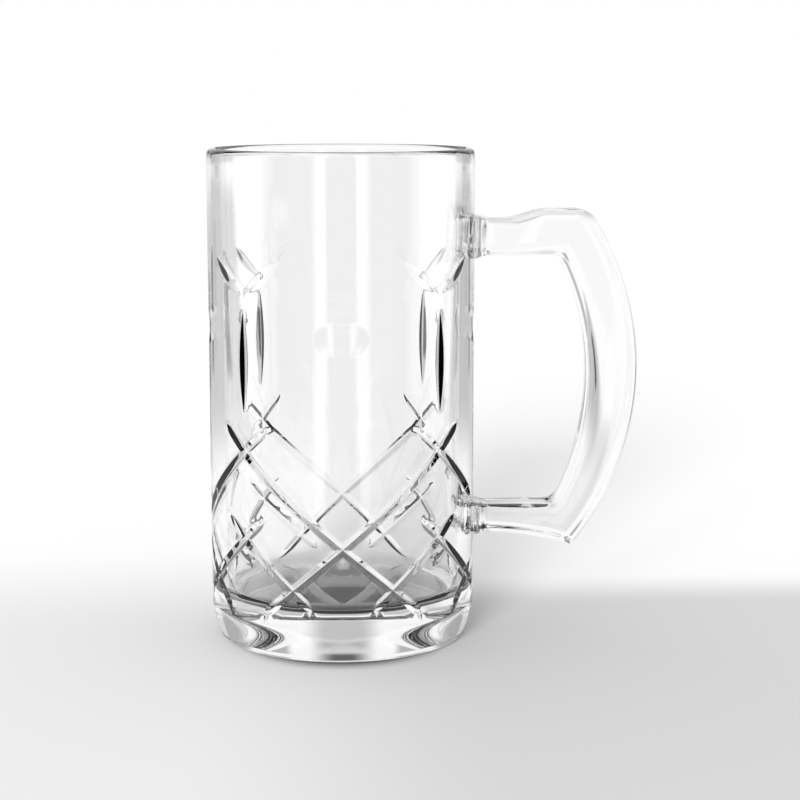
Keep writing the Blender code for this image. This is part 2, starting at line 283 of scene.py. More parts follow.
@dataclass(frozen=True)
class Cut:
    """One straight mitre cut on the unrolled wall, in metres round the wall and up it."""

    start: tuple[float, float]
    end: tuple[float, float]
    depth: float
    run_out: float
    slope: float

    @property
    def length(self) -> float:
        """Length of the cut along the wall."""
        return math.dist(self.start, self.end)

    @property
    def way(self) -> np.ndarray:
        """Direction of the cut along the wall, of length 1."""
        return (np.asarray(self.end) - np.asarray(self.start)) / self.length

    def place(self, along: np.ndarray, across: np.ndarray) -> np.ndarray:
        """Points of the wall on and beside the cut.

        Args:
            along: Distance of each point along the cut.
            across: Distance of each point from its middle.

        Returns:
            One row of two numbers for each point.
        """
        way = self.way
        side = np.array((-way[1], way[0]))
        return np.asarray(self.start) + along[:, None] * way + across[:, None] * side

    def depth_at(self, along: np.ndarray) -> np.ndarray:
        """Depth of the bottom of the cut, below zero past its ends.

        Args:
            along: Distances along the cut.

        Returns:
            The depth at each of them.
        """
        inside = np.minimum(along, self.length - along)
        share = np.clip(inside / self.run_out, None, 1.0)
        return self.depth * (1.0 - (1.0 - share) ** 2)

    def sink(self, wall: np.ndarray, nose: float) -> np.ndarray:
        """Depth of the cut at points of the wall, below zero outside it.

        Args:
            wall: Points of the unrolled wall.
            nose: Rounding of the bottom of the cut.

        Returns:
            The depth at each point.
        """
        way = self.way
        rel = wall - np.asarray(self.start)
        along = rel @ way
        across = rel[:, 1] * way[0] - rel[:, 0] * way[1]
        return self.depth_at(along) - self.slope * (np.sqrt(across * across + nose * nose) - nose)

    def guides(self, step: float) -> list[np.ndarray]:
        """Lines of the wall along the middle, the flanks and the brims of the cut.

        Args:
            step: Distance between their points.

        Returns:
            The points of each line.
        """
        along = np.linspace(0.0, self.length, max(LEAST_CUT_STEPS, round(self.length / step)) + 1)
        half = self.depth_at(along) / self.slope
        offsets = [side * share for share in CUT_LINES for side in ((1.0, -1.0) if share else (1.0,))]
        return [self.place(along, offset * half) for offset in offsets]


@dataclass(frozen=True)
class Dimple:
    """One shallow round hollow ground into the wall, in metres round the wall and up it."""

    centre: tuple[float, float]
    half_width: float
    half_height: float
    depth: float

    def sink(self, wall: np.ndarray, nose: float) -> np.ndarray:
        """Depth of the hollow at points of the wall, below zero outside it. It has no nose to round."""
        rel = (wall - np.asarray(self.centre)) / np.array((self.half_width, self.half_height))
        return self.depth * (1.0 - (rel * rel).sum(axis=1))

    def guides(self, step: float) -> list[np.ndarray]:
        """Rings of the wall from the middle of the hollow to just past its brim.

        Args:
            step: Distance between their points.

        Returns:
            The points of each ring.
        """
        rings = []
        size = np.array((self.half_width, self.half_height))
        for share in HOLLOW_RINGS:
            count = max(LEAST_RING_STEPS, round(2.0 * math.pi * share * self.half_width / step))
            turn = np.linspace(0.0, 2.0 * math.pi, count + 1)
            ring = np.stack((np.sin(turn), np.cos(turn)), axis=1)
            rings.append(np.asarray(self.centre) + share * size * ring)
        return rings


@dataclass
class CutPattern:
    """The cuts of the wall: lattice, stems, leaves and dimples, repeated round the tumbler."""

    radius: float
    height: float
    columns: int = 4
    half_angle: float = math.radians(56.0)
    lattice_depth: float = 0.88 * MM
    lattice_cross_z: float = 33.6 * MM
    lattice_rise: float = 26.2 * MM
    lattice_up: float = math.radians(57.5)
    lattice_down: float = math.radians(35.5)
    lattice_run_out: float = 3.6 * MM
    short_cross_rise: float = 0.9 * MM
    short_up: float = math.radians(10.5)
    short_down: float = math.radians(32.5)
    stem_clear_of_lattice: float = 10.4 * MM
    stem_clear_of_leaves: float = 3.9 * MM
    stem_depth: float = 1.15 * MM
    plain_band: float = 30.4 * MM
    leaf_rise: float = 9.7 * MM
    leaf_foot_angle: float = math.radians(0.5)
    leaf_tip_angle: float = math.radians(19.5)
    leaf_depth: float = 0.6 * MM
    leaf_flat: float = 1.9
    dimple_below_stem_top: float = 7.6 * MM
    dimple_half_width: float = 7.6 * MM
    dimple_half_height: float = 5.2 * MM
    dimple_depth: float = 0.85 * MM
    root_half_width: float = 11.5 * MM
    nose: float = 0.10 * MM
    brim: float = 0.10 * MM

    @property
    def slope(self) -> float:
        """Depth lost for each unit of distance from the middle of a lattice cut."""
        return 1.0 / math.tan(self.half_angle)

    @property
    def panel_step(self) -> float:
        """Angle from one panel to the next."""
        return 2.0 * math.pi / self.columns

    @property
    def half_panel(self) -> float:
        """Width round the wall from the middle of a panel to the column beside it."""
        return self.radius * self.panel_step / 2.0

    def lattice_cut(
        self, middle: float, side: float, upper: float, lower: float, rise: float = 0.0
    ) -> Cut:
        """One diagonal of the lattice.

        Args:
            middle: Angle of the line on which it crosses its mirror image.
            side: 1 for a diagonal that falls to the right, -1 for its mirror image.
            upper: Angle from that line to its upper end.
            lower: Angle from that line to its lower end.
            rise: How much higher it crosses than the long diagonals do.

        Returns:
            The cut.
        """
        pitch = self.lattice_rise / (self.panel_step / 2.0)
        level = self.lattice_cross_z + rise
        start = (self.radius * (middle + side * upper), level - upper * pitch)
        end = (self.radius * (middle + side * lower), level - lower * pitch)
        return Cut(start, end, self.lattice_depth, self.lattice_run_out, self.slope)

    def short_cut(
        self, low: tuple[float, float], high: tuple[float, float], depth: float, flat: float = 1.0
    ) -> Cut:
        """One cut that tapers from its middle to both ends.

        Args:
            low: Angle and height of its lower end.
            high: Angle and height of its upper end.
            depth: Depth in the middle.
            flat: How much flatter its sides are than those of the lattice.

        Returns:
            The cut.
        """
        start = (self.radius * low[0], low[1])
        end = (self.radius * high[0], high[1])
        return Cut(start, end, depth, math.dist(start, end) / 2.0, self.slope / flat)

    def cuts(self, handle_panel: bool) -> list[Cut | Dimple]:
        """Cuts that reach the half panel between angle 0 and the column beside it.

        Args:
            handle_panel: True where the handle's root stands in the panel's middle.

        Returns:
            The cuts.
        """
        step = self.panel_step
        column = step / 2.0
        spans = [(-self.lattice_up, self.lattice_down)]
        if handle_panel:
            pad = math.asin(self.root_half_width / self.radius)
            spans = [(-self.lattice_up, -pad), (pad, self.lattice_down)]
        found = [self.lattice_cut(0.0, side, *span) for side in (1.0, -1.0) for span in spans]
        found.append(self.lattice_cut(step, 1.0, -self.lattice_up, self.lattice_down))
        for side in (1.0, -1.0):
            short = (-self.short_up, self.short_down)
            found.append(self.lattice_cut(column, side, *short, self.short_cross_rise))
        leaf_tip = self.height - self.plain_band
        leaf_foot = leaf_tip - self.leaf_rise
        stem_top = leaf_foot - self.stem_clear_of_leaves
        stem_foot = self.lattice_cross_z + self.lattice_rise + self.stem_clear_of_lattice
        found.append(self.short_cut((column, stem_foot), (column, stem_top), self.stem_depth))
        for side in (1.0, -1.0):
            low = (column + side * self.leaf_foot_angle, leaf_foot)
            high = (column + side * self.leaf_tip_angle, leaf_tip)
            found.append(self.short_cut(low, high, self.leaf_depth, self.leaf_flat))
        middle = (0.0, stem_top - self.dimple_below_stem_top)
        found.append(Dimple(middle, self.dimple_half_width, self.dimple_half_height, self.dimple_depth))
        return found

    def sink(self, wall: np.ndarray, handle_panel: bool) -> np.ndarray:
        """Depth of all the cuts together.

        Args:
            wall: Points of the unrolled half panel.
            handle_panel: True where the handle's root stands in the panel's middle.

        Returns:
            The depth at each point.
        """
        total = np.zeros(len(wall))
        for cut in self.cuts(handle_panel):
            total = soft_max(total, cut.sink(wall, self.nose), self.brim)
        return total


@dataclass
class WallNet:
    """Triangles of one half panel of the wall, laid along its cuts. Gaps and rows are shares of a step."""

    pattern: CutPattern
    bottom: float
    top: float
    divisions: int
    along_step: float = 0.65 * MM
    open_step: float = 1.7 * MM
    open_gap: float = 0.6
    row_pitch: float = 0.866
    row_start: float = 0.75
    row_shift: float = 0.5
    row_end: float = 0.4
    chunk: int = 400
    merge: float = 0.02 * MM

    def clip(self, first: np.ndarray, second: np.ndarray) -> tuple[np.ndarray, np.ndarray] | None:
        """Part of a segment that lies inside the half panel.

        Args:
            first: One end.
            second: The other end.

        Returns:
            Both ends of the part inside, or None where all of it is outside.
        """
        low, high = 0.0, 1.0
        way = second - first
        for axis, (least, most) in enumerate(((0.0, self.pattern.half_panel), (self.bottom, self.top))):
            if abs(way[axis]) < TINY:
                if not least <= first[axis] <= most:
                    return None
                continue
            ends = sorted(((least - first[axis]) / way[axis], (most - first[axis]) / way[axis]))
            low, high = max(low, ends[0]), min(high, ends[1])
        if high <= low:
            return None
        return first + low * way, first + high * way

    def cut_lines(self) -> list[tuple[np.ndarray, np.ndarray]]:
        """Segments that follow every cut inside the half panel.

        Returns:
            Both ends of each segment.
        """
        segments = []
        for cut in self.pattern.cuts(False):
            for points in cut.guides(self.along_step):
                segments += [self.clip(a, b) for a, b in zip(points[:-1], points[1:])]
        return [segment for segment in segments if segment is not None]

    def edge_points(self) -> np.ndarray:
        """Points along the four sides of the half panel.

        Returns:
            One row of two numbers for each point.
        """
        width = self.pattern.half_panel
        round_wall = np.linspace(0.0, width, self.divisions + 1)
        up_wall = np.linspace(self.bottom, self.top, round((self.top - self.bottom) / self.open_step) + 1)
        low = np.stack((round_wall, np.full_like(round_wall, self.bottom)), axis=1)
        high = np.stack((round_wall, np.full_like(round_wall, self.top)), axis=1)
        left = np.stack((np.zeros_like(up_wall), up_wall), axis=1)[1:-1]
        right = np.stack((np.full_like(up_wall, width), up_wall), axis=1)[1:-1]
        return np.concatenate((low, high, left, right))

    def open_points(self, taken: np.ndarray) -> np.ndarray:
        """Points that fill the plain glass between the cuts.

        Args:
            taken: Points that are already used.

        Returns:
            Points that keep clear of those.
        """
        rows = round((self.top - self.bottom) / self.open_step / self.row_pitch)
        end = self.pattern.half_panel / self.open_step - self.row_end
        found = []
        for row in range(1, rows):
            start = self.row_start + (self.row_shift if row % 2 else 0.0)
            across = np.arange(start, end) * self.open_step
            height = self.bottom + (self.top - self.bottom) * row / rows
            found.append(np.stack((across, np.full_like(across, height)), axis=1))
        points = np.concatenate(found)
        gap = np.full(len(points), np.inf)
        for chunk in np.array_split(taken, max(1, len(taken) // self.chunk)):
            away = np.linalg.norm(points[:, None, :] - chunk[None, :, :], axis=2).min(axis=1)
            gap = np.minimum(gap, away)
        return points[gap > self.open_gap * self.open_step]

    def build(self) -> tuple[np.ndarray, list[list[int]]]:
        """Lay the net.

        Returns:
            Points of the unrolled half panel, and triangles of their indices.
        """
        segments = self.cut_lines()
        ends = np.array([point for segment in segments for point in segment])
        fixed = np.concatenate((self.edge_points(), ends))
        points = np.concatenate((fixed, self.open_points(fixed)))
        first = len(fixed) - len(ends)
        edges = [(first + 2 * index, first + 2 * index + 1) for index in range(len(segments))]
        scaled = [Vector(point) for point in np.round(points / MM, 6)]
        result = delaunay_2d_cdt(scaled, edges, [], 0, self.merge / MM)
        net = np.array([(v.x, v.y) for v in result[0]]) * MM
        return net, [list(face) for face in result[2]]


@dataclass
class Tumbler(GlassPiece):
    """The glass body: rim, wall with its cuts, heavy base and heel."""

    node: ClassVar[str] = "tumbler"
    glass: ClassVar[ClearGlass] = TUMBLER_GLASS

    height: float
    radius: float
    rim_thickness: float = 3.4 * MM
    wall_at_floor: float = 4.6 * MM
    base_thickness: float = 13.6 * MM
    floor_fillet: float = 4.0 * MM
    heel_height: float = 10.5 * MM
    heel_inset: float = 2.1 * MM
    heel_power: float = 1.6
    foot_edge: float = 1.4 * MM
    band_margin: float = 2.5 * MM
    panel_divisions: int = 32
    floor_rows: int = 14
    fillet_rows: int = 14
    inside_rows: int = 40
    rim_rows: int = 22
    band_rows: int = 14
    heel_rows: int = 14
    edge_rows: int = 10
    weld: float = 0.003 * MM

    @property
    def pattern(self) -> CutPattern:
        """The cuts that this wall carries."""
        return CutPattern(self.radius, self.height)

    @property
    def wall_top(self) -> float:
        """Height where the plain band below the rim starts."""
        return self.height - self.pattern.plain_band + self.band_margin

    def upper_profile(self) -> np.ndarray:
        """Half section from the middle of the inside floor, over the rim, to the top of the cuts.

        Returns:
            Radius and height of each point.
        """
        floor_radius = self.radius - self.wall_at_floor
        fillet = (floor_radius - self.floor_fillet, self.base_thickness + self.floor_fillet)
        lip = self.rim_thickness / 2.0
        lip_centre = (self.radius - lip, self.height - lip)
        lip_inside = (self.radius - self.rim_thickness, lip_centre[1])
        floor = line((0.0, self.base_thickness), (fillet[0], self.base_thickness), self.floor_rows)[:-1]
        corner = arc(fillet, self.floor_fillet, -QUARTER, 0.0, self.fillet_rows)
        inside = line(tuple(corner[-1]), lip_inside, self.inside_rows)[1:-1]
        rim = arc(lip_centre, lip, math.pi, 0.0, self.rim_rows)
        band = line(tuple(rim[-1]), (self.radius, self.wall_top), self.band_rows)[1:]
        return np.concatenate((floor, corner, inside, rim, band))

    def lower_profile(self) -> np.ndarray:
        """Half section from the top of the heel to the middle of the underside.

        Returns:
            Radius and height of each point.
        """
        share = np.linspace(0.0, 1.0, self.heel_rows + 1)[:-1]
        heights = self.heel_height + (self.foot_edge - self.heel_height) * share
        heel = np.stack((self.radius - self.heel_inset * share**self.heel_power, heights), axis=1)
        foot = self.radius - self.heel_inset - self.foot_edge
        edge = arc((foot, self.foot_edge), self.foot_edge, 0.0, -QUARTER, self.edge_rows)
        under = line((foot, 0.0), (0.0, 0.0), self.floor_rows)[1:]
        return np.concatenate((heel, edge, under))

    def turn(self, bm: bmesh.types.BMesh, profile: np.ndarray) -> None:
        """Turn a half section about the axis into the mesh.

        Args:
            bm: Mesh to add to.
            profile: Radius and height of each point.
        """
        count = self.panel_divisions * 2 * self.pattern.columns
        angles = 2.0 * math.pi * np.arange(count) / count
        rows = []
        for radius, height in profile:
            if radius < TINY:
                rows.append([bm.verts.new((0.0, 0.0, height))] * count)
                continue
            ring = [(radius * math.sin(a), -radius * math.cos(a), height) for a in angles]
            rows.append([bm.verts.new(point) for point in ring])
        bridge(bm, rows)

    def wrap_wall(self, bm: bmesh.types.BMesh) -> None:
        """Wrap the cut wall round the axis, half panel by half panel.

        Args:
            bm: Mesh to add to.
        """
        pattern = self.pattern
        net, faces = WallNet(pattern, self.heel_height, self.wall_top, self.panel_divisions).build()
        for panel in range(pattern.columns):
            middle = QUARTER + panel * pattern.panel_step
            radius = self.radius - pattern.sink(net, panel == 0)
            for side in (1.0, -1.0):
                angle = middle + side * net[:, 0] / self.radius
                xyz = np.stack((radius * np.sin(angle), -radius * np.cos(angle), net[:, 1]), axis=1)
                verts = [bm.verts.new(point) for point in xyz]
                for face in faces:
                    bm.faces.new([verts[i] for i in face])

    def build(self) -> bpy.types.Object:
        """Make the mesh.

        Returns:
            The tumbler as one closed mesh.
        """
        bm = bmesh.new()
        self.turn(bm, self.upper_profile())
        self.turn(bm, self.lower_profile())
        self.wrap_wall(bm)
        bmesh.ops.remove_doubles(bm, verts=bm.verts[:], dist=self.weld)
        bmesh.ops.recalc_face_normals(bm, faces=bm.faces[:])
        return to_object("mug_tumbler", bm)


@dataclass
class Handle(GlassPiece):
    """The applied D handle with its thumb rest, grip, spur and two roots."""

    node: ClassVar[str] = "handle"
    glass: ClassVar[ClearGlass] = HANDLE_GLASS

    wall_radius: float
    rim_height: float
    root_sink: float = 0.15 * MM
    root_start: float = 2.0 * MM
    root_clear: float = 0.05 * MM
    arm_below_rim: float = 20.3 * MM
    arm_thickness: float = 11.1 * MM
    thumb_rise: float = 2.5 * MM
    thumb_ramp_start: float = 10.2 * MM
    thumb_ramp_length: float = 11.0 * MM
    thumb_corner: float = 7.0 * MM
    thumb_lead: float = 4.0 * MM
    finger_room: float = 33.6 * MM
    grip_thickness: float = 14.6 * MM
    grip_inner_radius: float = 80.0 * MM
    grip_inner_rise: float = 1.1 * MM
    grip_outer_radius: float = 84.0 * MM
    grip_outer_rise: float = 3.6 * MM
    inner_corner: float = 4.0 * MM
    lower_top: float = 39.1 * MM
    lower_thickness: float = 8.2 * MM
    spur_drop: float = 4.1 * MM
    spur_edge: float = 1.6 * MM
    spur_lead: float = 4.5 * MM
    spur_power: float = 2.2
    arm_half_width: float = 7.2 * MM
    grip_half_width: float = 8.4 * MM
    root_flare_width: float = 2.0 * MM
    root_flare_height: float = 1.0 * MM
    root_flare_length: float = 4.5 * MM
    section_power: float = 5.0
    section_points: int = 72
    grip_top_share: float = 0.86
    grip_bottom_share: float = 0.75
    arm_rows: int = 44
    lead_rows: int = 6
    turn_rows: int = 12
    edge_rows: int = 9
    grip_rows: int = 48
    cap_rows: int = 14
    cap_heart: float = 0.02
    sharp_angle: float = math.radians(50.0)

    @property
    def corner_rows(self) -> int:
        """Rows of an inner corner, as many as the outer edge has beside it."""
        return self.lead_rows + self.turn_rows + self.edge_rows

    def fillet(
        self, level: float, radius: float, side: float, centre: tuple[float, float], grip: float
    ) -> tuple[tuple[float, float], float]:
        """Rounding between a level edge and the grip's arc.

        Args:
            level: Height of the edge.
            radius: Radius of the rounding.
            side: 1 where the edge is above the rounding, -1 where it is below.
            centre: Centre of the grip's arc.
            grip: Radius of the grip's arc.

        Returns:
            Centre of the rounding, and its angle about the grip's centre.
        """
        height = level - side * radius
        reach = grip - radius
        rise = height - centre[1]
        x = centre[0] + math.sqrt(reach * reach - rise * rise)
        return (x, height), math.atan2(rise, x - centre[0])

    def edges(self) -> tuple[np.ndarray, np.ndarray]:
        """Inner and outer edge in the XZ plane.

        Returns:
            Points of both edges, in matching rows.
        """
        wall = self.wall_radius
        root = wall - self.root_start
        arm_top = self.rim_height - self.arm_below_rim
        arm_under = arm_top - self.arm_thickness
        thumb_top = arm_top + self.thumb_rise
        lower_under = self.lower_top - self.lower_thickness
        spur_z = lower_under - self.spur_drop
        middle = (arm_under + self.lower_top) / 2.0
        inner_x = wall + self.finger_room
        inside = ((inner_x - self.grip_inner_radius, middle + self.grip_inner_rise), self.grip_inner_radius)
        outer_x = inner_x + self.grip_thickness - self.grip_outer_radius
        outside = ((outer_x, middle + self.grip_outer_rise), self.grip_outer_radius)
        upper, upper_angle = self.fillet(arm_under, self.inner_corner, 1.0, *inside)
        lower, lower_angle = self.fillet(self.lower_top, self.inner_corner, -1.0, *inside)
        thumb, thumb_angle = self.fillet(thumb_top, self.thumb_corner, 1.0, *outside)
        spur, spur_angle = self.fillet(spur_z, self.spur_edge, -1.0, *outside)
        grip_top = thumb_angle * self.grip_top_share
        grip_bottom = spur_angle * self.grip_bottom_share

        near = [
            line((root, arm_under), (upper[0], arm_under), self.arm_rows),
            arc(upper, self.inner_corner, QUARTER, upper_angle, self.corner_rows)[1:],
            arc(*inside, upper_angle, lower_angle, self.grip_rows)[1:],
            arc(lower, self.inner_corner, lower_angle, -QUARTER, self.corner_rows)[1:],
            line((lower[0], self.lower_top), (root, self.lower_top), self.arm_rows)[1:],
        ]
        across = np.linspace(root, upper[0] + self.thumb_lead, self.arm_rows + 1)
        ramp = smooth_step((across - wall - self.thumb_ramp_start) / self.thumb_ramp_length)
        back = np.linspace(spur[0] - self.spur_lead, root, self.arm_rows + 1)
        drop = np.clip((back - wall) / (spur[0] - wall), 0.0, None) ** self.spur_power
        under = np.stack((back, lower_under - self.spur_drop * drop), axis=1)
        far = [
            np.stack((across, arm_top + self.thumb_rise * ramp), axis=1),
            line((across[-1], thumb_top), (thumb[0], thumb_top), self.lead_rows)[1:],
            arc(thumb, self.thumb_corner, QUARTER, thumb_angle, self.turn_rows)[1:],
            arc(*outside, thumb_angle, grip_top, self.edge_rows)[1:],
            arc(*outside, grip_top, grip_bottom, self.grip_rows)[1:],
            arc(*outside, grip_bottom, spur_angle, self.turn_rows)[1:],
            arc(spur, self.spur_edge, spur_angle, -QUARTER, self.edge_rows)[1:],
            line((spur[0], spur_z), tuple(under[0]), self.lead_rows)[1:],
            under[1:],
        ]
        return np.concatenate(near), np.concatenate(far)

    def ring(self, near: np.ndarray, far: np.ndarray) -> np.ndarray:
        """One cross section.

        Args:
            near: Point of the inner edge.
            far: Point of the outer edge.

        Returns:
            Points round the section.
        """
        middle = (near + far) / 2.0
        reach = max(0.0, middle[0] - self.wall_radius)
        flare = (1.0 - min(1.0, reach / self.root_flare_length)) ** 2
        span = np.linalg.norm(far - near)
        way = (far - near) / span
        half_height = span / 2.0 + self.root_flare_height * flare
        share = smooth_step(reach / (self.thumb_ramp_start + self.thumb_ramp_length))
        half_width = self.arm_half_width + (self.grip_half_width - self.arm_half_width) * share
        half_width += self.root_flare_width * flare
        angle = 2.0 * math.pi * (np.arange(self.section_points) + 0.5) / self.section_points
        power = 2.0 / self.section_power
        high = np.sign(np.cos(angle)) * np.abs(np.cos(angle)) ** power * half_height
        wide = np.sign(np.sin(angle)) * np.abs(np.sin(angle)) ** power * half_width
        return np.stack((middle[0] + way[0] * high, wide, middle[1] + way[1] * high), axis=1)

    def seat(self, points: np.ndarray) -> np.ndarray:
        """Slide points along X on to the wall, a hair below its surface.

        Args:
            points: Points near the wall.

        Returns:
            The points on the wall.
        """
        seat = self.wall_radius - self.root_sink
        moved = points.copy()
        moved[:, 0] = np.sqrt(seat * seat - points[:, 1] ** 2)
        return moved

    def rings(self) -> list[np.ndarray]:
        """Cross sections from one root to the other.

        Returns:
            Points of each section, with the rows of a seated cap at both ends.
        """
        near, far = self.edges()
        body = []
        for a, b in zip(near, far):
            ring = self.ring(a, b)
            least = self.seat(ring)[:, 0]
            if (ring[:, 0] > least + self.root_clear).all():
                body.append(ring)
        caps = []
        for end in (body[0], body[-1]):
            rim = self.seat(end)
            heart = rim.mean(axis=0)
            shares = np.linspace(self.cap_heart, 1.0, self.cap_rows)
            caps.append([self.seat(heart + (rim - heart) * share) for share in shares])
        return caps[0] + body + caps[1][::-1]

    def build(self) -> bpy.types.Object:
        """Make the mesh.

        Returns:
            The handle as one closed mesh.
        """
        bm = bmesh.new()
        loops = [[bm.verts.new(point) for point in ring] for ring in self.rings()]
        bridge(bm, loops)
        bm.faces.new(loops[0])
        bm.faces.new(loops[-1])
        bmesh.ops.recalc_face_normals(bm, faces=bm.faces[:])
        handle = to_object("mug_handle", bm)
        handle.data.set_sharp_from_angle(angle=self.sharp_angle)
        return handle


class Tone(Enum):
    """Brightness of the cards that stand round the set."""

    BLACK = 0.02
    DARK = 0.12
    GREY = 0.45
    MIDDLE = 0.56
    PALE = 0.63
    WINDOW = 1.4


class Sides(Enum):
    """Sides of the set that a card stands on: 1 is right, -1 is left."""

    BOTH = (1.0, -1.0)
    LEFT = (-1.0,)
    RIGHT = (1.0,)


@dataclass(frozen=True)
class Card:
    """A card or soft box seen only in the glass, placed by bearing and elevation from the mug.

    Attributes:
        name: Name of the card.
        tone: Its brightness.
        bearing: First and last bearing in degrees, from straight behind the mug.
        elevation: First and last elevation in degrees.
        sides: Sides of the set that it stands on.
        fade: Degrees over which its sides, its foot and its top fade out.
        mirrored: True for a card that shows in reflections alone, and not straight through the glass.
        lift: Height above the table of the part that lies on it.
    """

    name: str
    tone: Tone
    bearing: tuple[float, float]
    elevation: tuple[float, float]
    sides: Sides = Sides.BOTH
    fade: tuple[float, float, float] = (1.0, 1.0, 1.0)
    mirrored: bool = False
    lift: float = 1.0 * MM

    def cover(self, bearing: float, elevation: float) -> float:
        """How solid the card is at a point, less towards its edges but not where both halves meet.

        Args:
            bearing: Bearing of the point.
            elevation: Elevation of the point.

        Returns:
            0 for clear to 1 for solid.
        """
        side, foot, top = self.fade
        inside = [(elevation - self.elevation[0]) / foot, (self.elevation[1] - elevation) / top]
        if self.bearing[0] > 0.0:
            inside.append((bearing - self.bearing[0]) / side)
        if self.bearing[1] < 180.0:
            inside.append((self.bearing[1] - bearing) / side)
        return float(np.prod(smooth_step(np.array(inside))))

    def material(self) -> bpy.types.Material:
        """Make the card's own light.

        Returns:
            An emitter that is as solid as the card's cover.
        """
        material = bpy.data.materials.new("card_" + self.name)
        material.use_nodes = True
        tree = material.node_tree
        shader = tree.nodes["Principled BSDF"]
        shader.inputs["Base Color"].default_value = BLACK
        shader.inputs["Specular IOR Level"].default_value = 0.0
        shader.inputs["Emission Color"].default_value = WHITE
        shader.inputs["Emission Strength"].default_value = self.tone.value
        solid = tree.nodes.new("ShaderNodeAttribute")
        solid.attribute_name = "cover"
        shown = solid.outputs["Fac"]
        if self.mirrored:
            path = tree.nodes.new("ShaderNodeLightPath")
            shown = combine(tree, "MINIMUM", shown, path.outputs["Glossy Depth"])
        tree.links.new(shown, shader.inputs["Alpha"])
        return material


CARDS = (
    Card("flank_left", Tone.PALE, (13.0, 62.0), (-17.0, 0.0), Sides.LEFT, (2.0, 8.0, 1.5)),
    Card("flank_right", Tone.MIDDLE, (19.0, 62.0), (-17.0, 0.0), Sides.RIGHT, (3.0, 8.0, 1.5)),
    Card("patch_left", Tone.BLACK, (20.0, 29.0), (-9.0, -3.0), Sides.LEFT, (2.5, 1.5, 1.0), lift=2.0 * MM),
    Card("patch_right", Tone.DARK, (24.0, 31.0), (-9.0, -3.0), Sides.RIGHT, (2.5, 1.5, 1.0), lift=2.0 * MM),
    Card("wing", Tone.GREY, (34.0, 62.0), (-1.0, 28.0), Sides.BOTH, (6.0, 1.0, 4.0)),
    Card("side_window", Tone.WINDOW, (68.0, 102.0), (-13.0, 22.0)),
    Card("front_side", Tone.BLACK, (106.0, 156.5), (-13.0, 12.0), mirrored=True),
    Card("front_strip", Tone.WINDOW, (157.0, 165.2), (-22.0, 10.0), mirrored=True),
    Card("front_gap", Tone.BLACK, (165.4, 180.0), (-22.0, 12.0), mirrored=True),
    Card("front_above", Tone.MIDDLE, (106.0, 180.0), (12.0, 30.0), mirrored=True),
    Card("back_low", Tone.DARK, (0.0, 11.0), (9.8, 15.4), Sides.BOTH, (9.0, 1.2, 2.4)),
    Card("back_side", Tone.GREY, (15.0, 31.0), (4.5, 13.5), Sides.BOTH, (3.5, 2.0, 2.0)),
    Card("back_above", Tone.MIDDLE, (0.0, 14.0), (13.4, 47.0), Sides.BOTH, (9.0, 2.4, 3.0)),
    Card("side_above", Tone.BLACK, (30.0, 148.0), (31.0, 65.0), mirrored=True),
    Card("back_top", Tone.BLACK, (0.0, 30.0), (46.0, 65.0), mirrored=True),
    Card("overhead", Tone.WINDOW, (150.0, 180.0), (45.0, 65.0), mirrored=True),
    Card("ceiling", Tone.GREY, (0.0, 180.0), (66.0, 90.0), mirrored=True),
)


